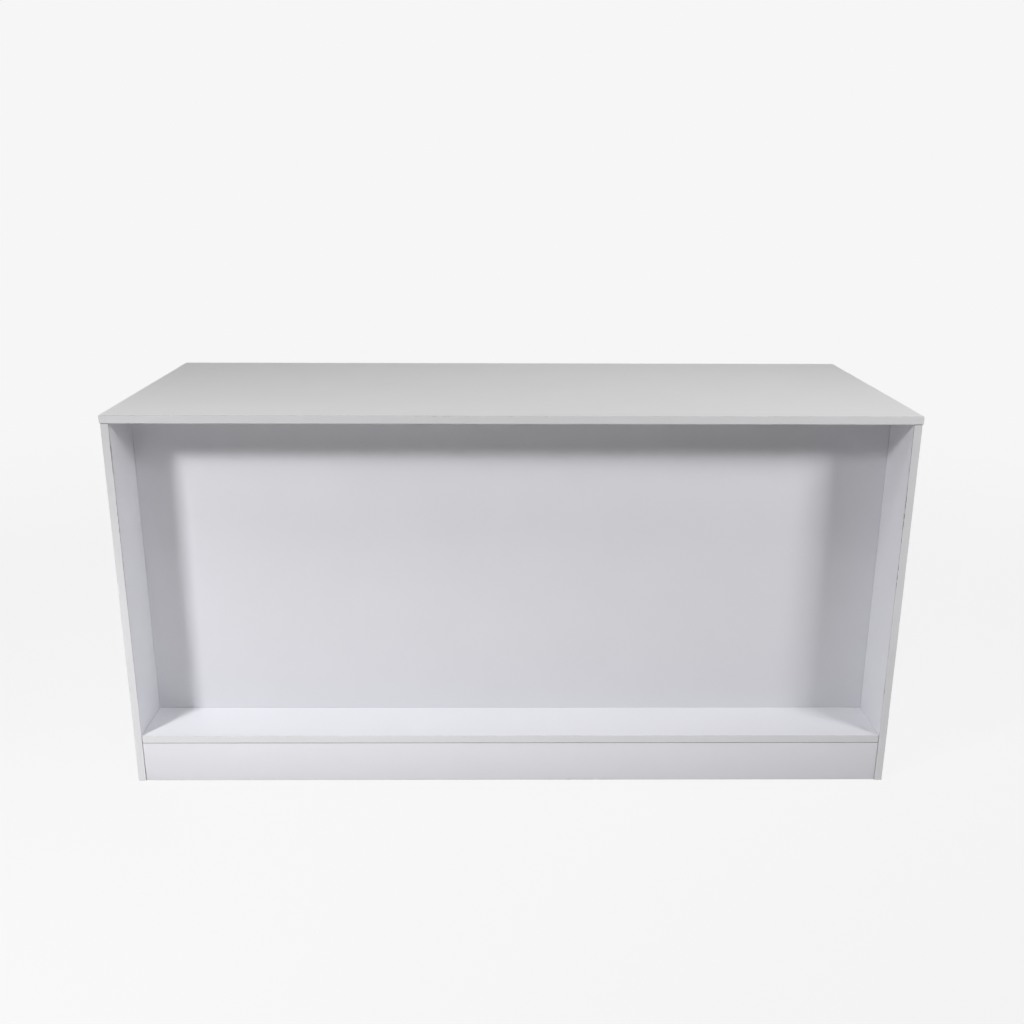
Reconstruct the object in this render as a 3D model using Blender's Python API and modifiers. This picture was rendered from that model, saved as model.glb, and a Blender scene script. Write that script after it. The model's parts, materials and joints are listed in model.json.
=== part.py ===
"""Retail counter in white melamine-faced chipboard.

The customer side faces -Y: a wide shallow recess under the worktop, with a low deck above the plinth.
The staff side faces +Y and is open: a centre upright and two loose shelves on pins. The boards are held
with carcass screws, cam fittings and dowels, and their showing edges carry plastic bands. Metres, +Z up;
the origin is on the floor under the middle of the worktop.
"""

import math

import bmesh
import bpy
from mathutils import Vector

OBJECT_NAME = "retail_counter"
CUTTERS_NAME = "retail_counter_cutters"

# Overall sizes
CARCASS_WIDTH = 1.800  # over the outer faces of the side panels
COUNTER_DEPTH = 0.700  # worktop, customer edge to staff edge
COUNTER_HEIGHT = 0.900
WORKTOP_END_OVERHANG = 0.002  # worktop past each side panel
WORKTOP_FACE_OVERHANG = 0.001  # worktop past the carcass, front and rear
RECESS_DEPTH = 0.147  # worktop's front edge to the recess's back panel

# Boards, edge bands and the gaps between them
BOARD = 0.018
BAND = 0.001
BAND_ARRIS = 0.0003  # softened corner of a band
GLUE_LINE = 0.0003  # between a band and its board
SEAT = 0.0003  # between pieces that bear on each other

# Plinth frame under the base deck
PLINTH_HEIGHT = 0.100
PLINTH_FLOOR_GAP = 0.001
PLINTH_TOP_GAP = 0.0012  # shadow line under the deck
PLINTH_END_GAP = 0.0015  # shadow line beside each side panel
PLINTH_SETBACK = 0.0015  # front plinth behind the carcass's front
TOE_SETBACK = 0.050  # rear plinth ahead of the carcass's rear
PLINTH_RAIL_INSET = 0.150  # outer cross rails from the side panels

# Staff side
UPRIGHT_SETBACK = 0.010  # centre upright ahead of the carcass's rear
SHELF_SETBACK = 0.030  # shelves ahead of the carcass's rear
SHELF_BACK_CLEARANCE = 0.002  # shelves behind the recess's back panel
SHELF_END_CLEARANCE = 0.0005  # shelves to the collars of their pins
SHELF_RISE = 0.360  # pins that carry the shelves above the deck

# Shelf pins and their rows of holes
PIN_RADIUS = 0.0025
PIN_SHANK = 0.0075  # length in the board
PIN_STUD = 0.009  # length under the shelf
PIN_COLLAR = 0.001
PIN_COLLAR_RADIUS = 0.0036
PIN_INSET = 0.060  # pins from the shelf's front and rear edges
PIN_HOLE_PITCH = 0.032
PIN_HOLES = 5  # in each row, with the pin in the middle one

# Carcass screws
SCREW_LENGTH = 0.050
SCREW_RADIUS = 0.0035
SCREW_HEAD_RADIUS = 0.005
SCREW_HEAD = 0.003
SCREW_TIP = 0.005
SCREW_TIP_RADIUS = 0.0018
SCREW_SINK = 0.001  # head below the board's face
SCREW_SOCKET_RADIUS = 0.0022
SCREW_SOCKET = 0.0025
DECK_SCREW_INSET = 0.080  # from the deck's front and rear edges
PANEL_SCREW_INSET = 0.120  # from the back panel's top and bottom edges
UPRIGHT_SCREW_INSET = 0.080  # from the upright's front and rear edges

# Cam fittings that hold the worktop down
CAM_RADIUS = 0.0075
CAM_LENGTH = 0.0125
CAM_SINK = 0.0005  # cam below the board's face
CAM_SOCKET_RADIUS = 0.003
CAM_SOCKET = 0.002
CAM_EDGE_DISTANCE = 0.024  # cam's axis below the board's top edge
CAM_INSET = 0.080  # cams from the back panel and from the side panel's rear edge
BOLT_THREAD = 0.011  # length in the worktop
BOLT_THREAD_RADIUS = 0.0025
BOLT_COLLAR = 0.004
BOLT_COLLAR_RADIUS = 0.0035
BOLT_SHANK_RADIUS = 0.002
BOLT_HEAD = 0.005
BOLT_HEAD_RADIUS = 0.0033

# Dowels between the upright and the recess's back panel
DOWEL_RADIUS = 0.004
DOWEL_LENGTH = 0.030
DOWEL_DEPTH = 0.011  # length in the back panel
DOWEL_CHAMFER = 0.0008
DOWEL_INSET = 0.150  # from the upright's top and bottom

# Bores round the fittings, and facets round a turned piece
BORE_CLEARANCE = 0.0003
BORE_OVERRUN = 0.002  # a bore's tool past the face that it enters
SMALL_SIDES = 12
CAM_SIDES = 20
SHARP_ANGLE = math.radians(40)
MERGE_DISTANCE = 0.00001

# Planes worked out from these sizes
FRONT = -COUNTER_DEPTH / 2
REAR = COUNTER_DEPTH / 2
CARCASS_FRONT = FRONT + WORKTOP_FACE_OVERHANG
CARCASS_REAR = REAR - WORKTOP_FACE_OVERHANG
SIDE_OUTER = CARCASS_WIDTH / 2
SIDE_INNER = SIDE_OUTER - BOARD
SIDE_MIDDLE = SIDE_OUTER - BOARD / 2
WORKTOP_END = SIDE_OUTER + WORKTOP_END_OVERHANG
WORKTOP_UNDER = COUNTER_HEIGHT - BOARD
BANDED = BAND + GLUE_LINE  # a board stops this short of its banded edge
DECK_UNDER = PLINTH_FLOOR_GAP + PLINTH_HEIGHT + PLINTH_TOP_GAP
DECK_TOP = DECK_UNDER + BOARD
DECK_MIDDLE = DECK_UNDER + BOARD / 2
STANDING_FOOT = DECK_TOP + SEAT  # boards that stand on the deck
STANDING_TOP = WORKTOP_UNDER - SEAT  # boards that the worktop lies on
PANEL_FRONT = FRONT + RECESS_DEPTH
PANEL_MIDDLE = PANEL_FRONT + BOARD / 2
PANEL_REAR = PANEL_FRONT + BOARD
BETWEEN_SIDES = SIDE_INNER - SEAT
BAY_MIDDLE = (BOARD / 2 + SIDE_INNER) / 2
UPRIGHT_FRONT = PANEL_REAR + SEAT
UPRIGHT_REAR = CARCASS_REAR - UPRIGHT_SETBACK
SHELF_FRONT = PANEL_REAR + SHELF_BACK_CLEARANCE
SHELF_REAR = CARCASS_REAR - SHELF_SETBACK
SHELF_INSET = SEAT + PIN_COLLAR + SHELF_END_CLEARANCE
PIN_HEIGHT = DECK_TOP + SHELF_RISE
PIN_ROWS = (SHELF_FRONT + PIN_INSET, SHELF_REAR - PIN_INSET)
SHELF_UNDER = PIN_HEIGHT + PIN_RADIUS + SEAT
SIDES = {"left": -1, "right": 1}


def clear_scene():
    """Remove every object that the scene holds."""
    for item in list(bpy.data.objects):
        bpy.data.objects.remove(item, do_unlink=True)


def collection(name):
    """The scene's collection of this name, made if it is missing."""
    found = bpy.data.collections.get(name) or bpy.data.collections.new(name)
    if found.name not in bpy.context.scene.collection.children:
        bpy.context.scene.collection.children.link(found)
    return found


def material(name, colour, roughness, metallic=0.0):
    """A finish: linear base colour, roughness and metallic value."""
    finish = bpy.data.materials.get(name) or bpy.data.materials.new(name)
    finish.use_nodes = True
    shader = finish.node_tree.nodes["Principled BSDF"]
    shader.inputs["Base Color"].default_value = (*colour, 1.0)
    shader.inputs["Roughness"].default_value = roughness
    shader.inputs["Metallic"].default_value = metallic
    return finish


def white_melamine():
    """Fine-textured white melamine face of the boards."""
    return material("white_melamine", (0.80, 0.80, 0.82), 0.45)


def white_edge_band():
    """White plastic band, a little warmer than the boards."""
    return material("white_edge_band", (0.80, 0.80, 0.79), 0.40)


def bright_steel():
    """Nickel-plated steel of the pins, screws and bolts."""
    return material("bright_steel", (0.62, 0.61, 0.58), 0.30, 1.0)


def cast_zinc():
    """Die-cast zinc of the cam housings."""
    return material("cast_zinc", (0.50, 0.50, 0.51), 0.45, 1.0)


def beech():
    """Bare beech of the dowels."""
    return material("beech", (0.55, 0.36, 0.20), 0.70)


def add_piece(name, mesh, place, parent, axis=None):
    """Add a mesh as a named piece of the counter, its local Z turned to an axis where one is given."""
    piece = bpy.data.objects.new(name, mesh)
    collection(OBJECT_NAME).objects.link(piece)
    piece.parent = parent
    piece.location = Vector(place) - parent.location
    if axis is not None:
        piece.rotation_euler = Vector((0, 0, 1)).rotation_difference(Vector(axis)).to_euler()
    return piece


def add_cutter(name, mesh, place, axis):
    """Add a mesh as a tool that bores the boards, its local Z turned to an axis."""
    cutter = bpy.data.objects.new(name, mesh)
    collection(CUTTERS_NAME).objects.link(cutter)
    cutter.location = place
    cutter.rotation_euler = Vector((0, 0, 1)).rotation_difference(Vector(axis)).to_euler()
    cutter.hide_render = True
    cutter.display_type = "WIRE"
    return cutter


def bore(piece, cutter):
    """Cut a tool's shape out of a piece."""
    cut = piece.modifiers.new("bore_" + cutter.name, "BOOLEAN")
    cut.operation = "DIFFERENCE"
    cut.solver = "EXACT"
    cut.object = cutter


def box_mesh(name, size, finish):
    """A rectangular block about its own middle."""
    shape = bmesh.new()
    bmesh.ops.create_cube(shape, size=1.0)
    bmesh.ops.scale(shape, vec=size, verts=shape.verts)
    mesh = bpy.data.meshes.new(name)
    shape.to_mesh(mesh)
    shape.free()
    mesh.materials.append(finish)
    return mesh


def board(name, low, high, parent):
    """A melamine-faced board between two opposite corners."""
    low, high = Vector(low), Vector(high)
    return add_piece(name, box_mesh(name, high - low, white_melamine()), (low + high) / 2, parent)


def band(name, low, high, parent):
    """An edge band between two opposite corners, with softened corners."""
    low, high = Vector(low), Vector(high)
    piece = add_piece(name, box_mesh(name, high - low, white_edge_band()), (low + high) / 2, parent)
    soften = piece.modifiers.new("soften", "BEVEL")
    soften.width = BAND_ARRIS
    soften.segments = 1
    return piece


def turned_mesh(name, profile, sides, finish=None):
    """Turn a profile of (radius, height) points, from the top of the axis down to its foot, round local Z.

    A tool that bores the boards has no finish.
    """
    outline = bmesh.new()
    points = [outline.verts.new((radius, 0.0, height)) for radius, height in profile]
    for start, end in zip(points, points[1:]):
        outline.edges.new((start, end))
    wire = bpy.data.meshes.new(name + "_profile")
    outline.to_mesh(wire)
    outline.free()
    lathe = bpy.data.objects.new(name + "_profile", wire)
    bpy.context.scene.collection.objects.link(lathe)
    turn = lathe.modifiers.new("turn", "SCREW")
    turn.steps = sides
    turn.render_steps = sides
    turn.use_merge_vertices = True
    turn.merge_threshold = MERGE_DISTANCE
    mesh = bpy.data.meshes.new_from_object(lathe.evaluated_get(bpy.context.evaluated_depsgraph_get()))
    bpy.data.objects.remove(lathe, do_unlink=True)
    mesh.name = name
    mesh.materials.clear()
    if finish:
        mesh.materials.append(finish)
    mesh.shade_smooth()
    mesh.set_sharp_from_angle(angle=SHARP_ANGLE)
    return mesh


def rod_profile(radius, top, foot):
    """A plain rod between two heights."""
    return [(0.0, top), (radius, top), (radius, foot), (0.0, foot)]


def across_flats(radius, sides):
    """Corner radius of a faceted bore whose flats clear a round piece."""
    return (radius + BORE_CLEARANCE) / math.cos(math.pi / sides)


def side_span(side, near, far):
    """Lowest and highest X of a stretch between two distances from the counter's middle."""
    return sorted((side * near, side * far))


def make_worktop(root):
    """The worktop, with a band on each of its four edges."""
    end, depth = WORKTOP_END, REAR
    core_end, core_depth = end - BANDED, depth - BANDED
    low, high = WORKTOP_UNDER, COUNTER_HEIGHT
    worktop = board("worktop", (-core_end, -core_depth, low), (core_end, core_depth, high), root)
    band("worktop_front_band", (-end, -depth, low), (end, -depth + BAND, high), root)
    band("worktop_rear_band", (-end, depth - BAND, low), (end, depth, high), root)
    for name, side in SIDES.items():
        near, far = side_span(side, end - BAND, end)
        band(f"worktop_{name}_band", (near, -core_depth, low), (far, core_depth, high), root)
    return worktop


def make_side_panel(name, side, root):
    """A full-height side panel that stands on the floor, banded front and rear."""
    near, far = side_span(side, SIDE_INNER, SIDE_OUTER)
    front, rear = CARCASS_FRONT, CARCASS_REAR
    panel = board(f"{name}_side_panel", (near, front + BANDED, 0), (far, rear - BANDED, STANDING_TOP), root)
    band(f"{name}_side_front_band", (near, front, 0), (far, front + BAND, STANDING_TOP), root)
    band(f"{name}_side_rear_band", (near, rear - BAND, 0), (far, rear, STANDING_TOP), root)
    return panel


def make_base_deck(root):
    """The deck between the side panels, full depth, banded front and rear."""
    end, front, rear = BETWEEN_SIDES, CARCASS_FRONT, CARCASS_REAR
    deck = board("base_deck", (-end, front + BANDED, DECK_UNDER), (end, rear - BANDED, DECK_TOP), root)
    band("base_deck_front_band", (-end, front, DECK_UNDER), (end, front + BAND, DECK_TOP), root)
    band("base_deck_rear_band", (-end, rear - BAND, DECK_UNDER), (end, rear, DECK_TOP), root)
    return deck


def make_plinth_frame(root):
    """Front and rear plinth boards under the deck, joined by three cross rails."""
    end = SIDE_INNER - PLINTH_END_GAP
    low, high = PLINTH_FLOOR_GAP, PLINTH_FLOOR_GAP + PLINTH_HEIGHT
    front = CARCASS_FRONT + PLINTH_SETBACK
    rear = CARCASS_REAR - TOE_SETBACK
    board("front_plinth", (-end, front, low), (end, front + BOARD, high), root)
    board("rear_plinth", (-end, rear - BOARD, low), (end, rear, high), root)
    rail_reach = SIDE_INNER - PLINTH_RAIL_INSET
    rails = {"left": -rail_reach, "centre": 0.0, "right": rail_reach}
    for name, middle in rails.items():
        corner_low = (middle - BOARD / 2, front + BOARD + SEAT, low)
        corner_high = (middle + BOARD / 2, rear - BOARD - SEAT, DECK_UNDER - SEAT)
        board(f"plinth_{name}_rail", corner_low, corner_high, root)


def make_recess_back_panel(root):
    """The upright panel at the back of the customer recess, standing on the deck."""
    corner_low = (-BETWEEN_SIDES, PANEL_FRONT, STANDING_FOOT)
    corner_high = (BETWEEN_SIDES, PANEL_REAR, STANDING_TOP)
    return board("recess_back_panel", corner_low, corner_high, root)


def make_centre_upright(root):
    """The upright that parts the staff side into two bays, banded at its rear."""
    half = BOARD / 2
    low, high = STANDING_FOOT, STANDING_TOP
    upright = board("centre_upright", (-half, UPRIGHT_FRONT, low), (half, UPRIGHT_REAR - BANDED, high), root)
    band("centre_upright_band", (-half, UPRIGHT_REAR - BAND, low), (half, UPRIGHT_REAR, high), root)
    return upright


def make_shelf(name, side, root):
    """A loose shelf on its pins, banded on the staff edge, under an empty on its way out."""
    near, far = side_span(side, BOARD / 2 + SHELF_INSET, SIDE_INNER - SHELF_INSET)
    slide = bpy.data.objects.new(f"{name}_shelf_slide", None)
    collection(OBJECT_NAME).objects.link(slide)
    slide.parent = root
    slide.location = ((near + far) / 2, (SHELF_FRONT + SHELF_REAR) / 2, SHELF_UNDER)
    low, high = SHELF_UNDER, SHELF_UNDER + BOARD
    board(f"{name}_shelf", (near, SHELF_FRONT, low), (far, SHELF_REAR - BANDED, high), slide)
    band(f"{name}_shelf_band", (near, SHELF_REAR - BAND, low), (far, SHELF_REAR, high), slide)


def bore_pin_holes(name, piece, tool, face, axis):
    """Bore a board's two rows of pin holes from its face at x, against an axis."""
    lowest = PIN_HEIGHT - PIN_HOLES // 2 * PIN_HOLE_PITCH
    for place, row in zip(("front", "rear"), PIN_ROWS):
        cutter = add_cutter(f"{name}_pin_holes_{place}", tool, (face, row, lowest), axis)
        repeat = cutter.modifiers.new("pitch", "ARRAY")
        repeat.count = PIN_HOLES
        repeat.use_relative_offset = False
        repeat.use_constant_offset = True
        upwards = cutter.rotation_euler.to_matrix().inverted() @ Vector((0, 0, 1))
        repeat.constant_offset_displace = upwards * PIN_HOLE_PITCH
        bore(piece, cutter)


def make_shelf_pins(side_panels, upright, root):
    """Four pins for each shelf, and the rows of holes that they may stand in."""
    stud_end = SEAT + PIN_COLLAR + PIN_STUD
    profile = [
        (0.0, stud_end),
        (PIN_RADIUS, stud_end),
        (PIN_RADIUS, SEAT + PIN_COLLAR),
        (PIN_COLLAR_RADIUS, SEAT + PIN_COLLAR),
        (PIN_COLLAR_RADIUS, SEAT),
        (PIN_RADIUS, SEAT),
        (PIN_RADIUS, -PIN_SHANK),
        (0.0, -PIN_SHANK),
    ]
    pin = turned_mesh("shelf_pin", profile, SMALL_SIDES, bright_steel())
    hole_radius = across_flats(PIN_RADIUS, SMALL_SIDES)
    blind_hole = rod_profile(hole_radius, BORE_OVERRUN, -PIN_SHANK - BORE_CLEARANCE)
    blind_tool = turned_mesh("blind_pin_hole", blind_hole, SMALL_SIDES)
    through_hole = rod_profile(hole_radius, BORE_OVERRUN, -BOARD - BORE_OVERRUN)
    through_tool = turned_mesh("through_pin_hole", through_hole, SMALL_SIDES)
    bore_pin_holes("upright", upright, through_tool, BOARD / 2, (1, 0, 0))
    for name, side in SIDES.items():
        bore_pin_holes(name, side_panels[name], blind_tool, side * SIDE_INNER, (-side, 0, 0))
        faces = {"outer": (side * SIDE_INNER, -side), "inner": (side * BOARD / 2, side)}
        for end, (x, way) in faces.items():
            for place, row in zip(("front", "rear"), PIN_ROWS):
                add_piece(f"{name}_shelf_pin_{end}_{place}", pin, (x, row, PIN_HEIGHT), root, (way, 0, 0))


def screw_profile():
    """A carcass screw from its head at height 0 down to its tip, without its drive socket."""
    neck = -SCREW_HEAD - (SCREW_HEAD_RADIUS - SCREW_RADIUS)
    return [
        (0.0, 0.0),
        (SCREW_HEAD_RADIUS, 0.0),
        (SCREW_HEAD_RADIUS, -SCREW_HEAD),
        (SCREW_RADIUS, neck),
        (SCREW_RADIUS, SCREW_TIP - SCREW_LENGTH),
        (SCREW_TIP_RADIUS, -SCREW_LENGTH),
        (0.0, -SCREW_LENGTH),
    ]


def screw_bore_profile():
    """The stepped bore of a carcass screw, clear of it all round and open past its head."""
    top = SCREW_SINK + BORE_OVERRUN
    foot = -SCREW_LENGTH - BORE_CLEARANCE
    walls = [(across_flats(radius, SMALL_SIDES), height) for radius, height in screw_profile()[1:-1]]
    walls[0] = (walls[0][0], top)
    walls[-1] = (walls[-1][0], foot)
    return [(0.0, top), *walls, (0.0, foot)]


def make_carcass_screws(side_panels, panel, deck, upright, root):
    """Screws through the side panels into the deck and the back panel, and up through the deck."""
    socket = [(0.0, -SCREW_SOCKET), (SCREW_SOCKET_RADIUS, -SCREW_SOCKET), (SCREW_SOCKET_RADIUS, 0.0)]
    screw = turned_mesh("carcass_screw", socket + screw_profile()[1:], SMALL_SIDES, bright_steel())
    tool = turned_mesh("carcass_screw_bore", screw_bore_profile(), SMALL_SIDES)

    def drive(name, place, axis, boards):
        add_piece(name, screw, place, root, axis)
        cutter = add_cutter(name + "_bore", tool, place, axis)
        for item in boards:
            bore(item, cutter)

    deck_places = {"front": CARCASS_FRONT + DECK_SCREW_INSET, "rear": CARCASS_REAR - DECK_SCREW_INSET}
    panel_places = {"lower": STANDING_FOOT + PANEL_SCREW_INSET, "upper": STANDING_TOP - PANEL_SCREW_INSET}
    upright_places = {
        "front": UPRIGHT_FRONT + UPRIGHT_SCREW_INSET,
        "rear": UPRIGHT_REAR - UPRIGHT_SCREW_INSET,
    }
    outwards, downwards = Vector((1, 0, 0)), Vector((0, 0, -1))
    foot = DECK_UNDER + SCREW_SINK
    for name, side in SIDES.items():
        side_panel = side_panels[name]
        head = side * (SIDE_OUTER - SCREW_SINK)
        axis = side * outwards
        for place, y in deck_places.items():
            drive(f"{name}_deck_screw_{place}", (head, y, DECK_MIDDLE), axis, (side_panel, deck))
        for place, z in panel_places.items():
            drive(f"{name}_panel_screw_{place}", (head, PANEL_MIDDLE, z), axis, (side_panel, panel))
        drive(f"panel_foot_screw_{name}", (side * BAY_MIDDLE, PANEL_MIDDLE, foot), downwards, (deck, panel))
    for place, y in upright_places.items():
        drive(f"upright_foot_screw_{place}", (0, y, foot), downwards, (deck, upright))


def bolt_profile():
    """A cam bolt with height 0 at the worktop's underside: thread above, collar, shank and head below."""
    collar_foot = -SEAT - BOLT_COLLAR
    head_top = BOLT_HEAD / 2 - SEAT - CAM_EDGE_DISTANCE
    return [
        (0.0, BOLT_THREAD),
        (BOLT_THREAD_RADIUS, BOLT_THREAD),
        (BOLT_THREAD_RADIUS, -SEAT),
        (BOLT_COLLAR_RADIUS, -SEAT),
        (BOLT_COLLAR_RADIUS, collar_foot),
        (BOLT_SHANK_RADIUS, collar_foot),
        (BOLT_SHANK_RADIUS, head_top),
        (BOLT_HEAD_RADIUS, head_top),
        (BOLT_HEAD_RADIUS, head_top - BOLT_HEAD),
        (0.0, head_top - BOLT_HEAD),
    ]


def make_cam_fittings(side_panels, panel, worktop, root):
    """Bolts screwed into the worktop from below, each held by a cam in the board that carries it."""
    cam_profile = [
        (0.0, -CAM_SOCKET),
        (CAM_SOCKET_RADIUS, -CAM_SOCKET),
        (CAM_SOCKET_RADIUS, 0.0),
        (CAM_RADIUS, 0.0),
        (CAM_RADIUS, -CAM_LENGTH),
        (0.0, -CAM_LENGTH),
    ]
    cam = turned_mesh("cam_housing", cam_profile, CAM_SIDES, cast_zinc())
    bolt = turned_mesh("cam_bolt", bolt_profile(), SMALL_SIDES, bright_steel())
    cam_bore_radius = across_flats(CAM_RADIUS, CAM_SIDES)
    cam_bore = rod_profile(cam_bore_radius, CAM_SINK + BORE_OVERRUN, -CAM_LENGTH - BORE_CLEARANCE)
    cam_tool = turned_mesh("cam_bore", cam_bore, CAM_SIDES)
    edge_radius = across_flats(max(BOLT_COLLAR_RADIUS, BOLT_HEAD_RADIUS), SMALL_SIDES)
    edge_bore = rod_profile(edge_radius, BORE_OVERRUN, bolt_profile()[-1][1] - BORE_CLEARANCE)
    edge_tool = turned_mesh("bolt_edge_bore", edge_bore, SMALL_SIDES)
    thread_radius = across_flats(BOLT_THREAD_RADIUS, SMALL_SIDES)
    thread_bore = rod_profile(thread_radius, BOLT_THREAD + BORE_CLEARANCE, -BORE_OVERRUN)
    thread_tool = turned_mesh("bolt_thread_bore", thread_bore, SMALL_SIDES)

    def fit(name, carrier, bolt_place, face_place, axis):
        add_piece(f"cam_bolt_{name}", bolt, bolt_place, root)
        housing = add_piece(f"cam_housing_{name}", cam, face_place, root, axis)
        edge = add_cutter(f"bolt_edge_bore_{name}", edge_tool, bolt_place, (0, 0, 1))
        bore(carrier, add_cutter(f"cam_bore_{name}", cam_tool, face_place, axis))
        bore(carrier, edge)
        bore(housing, edge)
        bore(worktop, add_cutter(f"bolt_thread_bore_{name}", thread_tool, bolt_place, (0, 0, 1)))

    cam_height = STANDING_TOP - CAM_EDGE_DISTANCE
    rows = {"front": PANEL_REAR + CAM_INSET, "rear": CARCASS_REAR - CAM_INSET}
    for name, side in SIDES.items():
        for place, y in rows.items():
            top = (side * SIDE_MIDDLE, y, WORKTOP_UNDER)
            face = (side * (SIDE_INNER + CAM_SINK), y, cam_height)
            fit(f"{name}_{place}", side_panels[name], top, face, (-side, 0, 0))
        top = (side * BAY_MIDDLE, PANEL_MIDDLE, WORKTOP_UNDER)
        face = (side * BAY_MIDDLE, PANEL_REAR - CAM_SINK, cam_height)
        fit(f"panel_{name}", panel, top, face, (0, 1, 0))


def make_dowels(panel, upright, root):
    """Two dowels that locate the upright on the recess's back panel."""
    head = DOWEL_LENGTH - DOWEL_DEPTH + SEAT
    profile = [
        (0.0, head),
        (DOWEL_RADIUS - DOWEL_CHAMFER, head),
        (DOWEL_RADIUS, head - DOWEL_CHAMFER),
        (DOWEL_RADIUS, head - DOWEL_LENGTH + DOWEL_CHAMFER),
        (DOWEL_RADIUS - DOWEL_CHAMFER, head - DOWEL_LENGTH),
        (0.0, head - DOWEL_LENGTH),
    ]
    dowel = turned_mesh("upright_dowel", profile, SMALL_SIDES, beech())
    radius = across_flats(DOWEL_RADIUS, SMALL_SIDES)
    hole = rod_profile(radius, head + BORE_CLEARANCE, head - DOWEL_LENGTH - BORE_CLEARANCE)
    tool = turned_mesh("upright_dowel_bore", hole, SMALL_SIDES)
    heights = {"lower": STANDING_FOOT + DOWEL_INSET, "upper": STANDING_TOP - DOWEL_INSET}
    for place, z in heights.items():
        add_piece(f"upright_dowel_{place}", dowel, (0, PANEL_REAR, z), root, (0, 1, 0))
        cutter = add_cutter(f"upright_dowel_bore_{place}", tool, (0, PANEL_REAR, z), (0, 1, 0))
        bore(panel, cutter)
        bore(upright, cutter)


def main():
    """Build the counter, board by board, then its fittings."""
    clear_scene()
    root = bpy.data.objects.new(OBJECT_NAME, None)
    collection(OBJECT_NAME).objects.link(root)
    worktop = make_worktop(root)
    side_panels = {name: make_side_panel(name, side, root) for name, side in SIDES.items()}
    deck = make_base_deck(root)
    make_plinth_frame(root)
    panel = make_recess_back_panel(root)
    upright = make_centre_upright(root)
    for name, side in SIDES.items():
        make_shelf(name, side, root)
    make_shelf_pins(side_panels, upright, root)
    make_carcass_screws(side_panels, panel, deck, upright, root)
    make_cam_fittings(side_panels, panel, worktop, root)
    make_dowels(panel, upright, root)


main()
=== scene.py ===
"""Finishes, worn edges, fittings and studio of a white melamine retail counter.

The packed counter is loaded as a fixed frame. Its bored boards keep their shape and get their finish here.
The edge bands, sawn boards, shelf pins and cams are replaced by finer ones, and the screw heads in the side
panels get their caps.
Metres, +Z up; the customer side faces -Y.
"""

import json
import math

import bmesh
import bpy
from bpy.props import FloatProperty, FloatVectorProperty, PointerProperty
from mathutils import Matrix, Vector, noise

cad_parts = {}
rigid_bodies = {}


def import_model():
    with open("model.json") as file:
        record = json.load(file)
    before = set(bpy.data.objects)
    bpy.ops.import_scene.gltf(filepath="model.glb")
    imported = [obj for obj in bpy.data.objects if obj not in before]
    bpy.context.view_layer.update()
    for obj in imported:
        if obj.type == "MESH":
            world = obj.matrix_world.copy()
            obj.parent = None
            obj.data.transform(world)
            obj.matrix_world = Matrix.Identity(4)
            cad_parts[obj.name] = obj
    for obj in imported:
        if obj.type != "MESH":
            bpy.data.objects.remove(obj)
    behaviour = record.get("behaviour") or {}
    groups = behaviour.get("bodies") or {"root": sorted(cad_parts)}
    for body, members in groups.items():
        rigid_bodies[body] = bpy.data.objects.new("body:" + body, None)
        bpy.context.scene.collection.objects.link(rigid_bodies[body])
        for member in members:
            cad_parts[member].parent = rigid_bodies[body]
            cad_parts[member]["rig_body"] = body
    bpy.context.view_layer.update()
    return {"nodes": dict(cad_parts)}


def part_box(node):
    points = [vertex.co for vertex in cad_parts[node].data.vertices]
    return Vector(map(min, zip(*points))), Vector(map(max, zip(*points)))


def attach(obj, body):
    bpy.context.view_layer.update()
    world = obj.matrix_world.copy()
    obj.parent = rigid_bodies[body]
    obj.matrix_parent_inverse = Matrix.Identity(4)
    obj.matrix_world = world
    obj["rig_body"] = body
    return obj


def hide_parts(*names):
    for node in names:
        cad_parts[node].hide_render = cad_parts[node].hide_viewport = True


bl_info = {
    "name": "Retail counter looks",
    "version": (1, 0, 0),
    "blender": (4, 5, 0),
    "location": "3D View > Sidebar > Counter",
    "description": "Dresses a white melamine retail counter and sets it in a studio",
    "category": "Object",
}

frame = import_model()

AXES = (Vector((1, 0, 0)), Vector((0, 1, 0)), Vector((0, 0, 1)))
X, Y, Z = range(3)

# Boards that keep their solids, by the axis that their melamine faces look along
FACED_BOARDS = {
    "worktop": Z,
    "base_deck": Z,
    "left_side_panel": X,
    "right_side_panel": X,
    "centre_upright": X,
    "recess_back_panel": Y,
}
# Boards with no bores, which are made again with sawn arrises
SAWN_BOARDS = {
    "front_plinth": Y,
    "rear_plinth": Y,
    "plinth_left_rail": X,
    "plinth_centre_rail": X,
    "plinth_right_rail": X,
    "left_shelf": Z,
    "right_shelf": Z,
}
# Edge bands, by the board that carries them
BANDS = {
    "worktop": ("worktop_front_band", "worktop_rear_band", "worktop_left_band", "worktop_right_band"),
    "left_side_panel": ("left_side_front_band", "left_side_rear_band"),
    "right_side_panel": ("right_side_front_band", "right_side_rear_band"),
    "base_deck": ("base_deck_front_band", "base_deck_rear_band"),
    "centre_upright": ("centre_upright_band",),
    "left_shelf": ("left_shelf_band",),
    "right_shelf": ("right_shelf_band",),
}
# Arrises that the trimmer cut too deep: which arris across the band (-1 low, 1 high), how deep, from and to
SCRAPES = {
    "worktop_front_band": ((1, 0.0002, -0.96, -0.76),),
    "left_side_front_band": ((1, 0.0003, 0.20, 0.90), (1, 0.0002, 0.74, 0.90)),
    "right_side_front_band": ((-1, 0.0001, 0.20, 0.85),),
}
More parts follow.
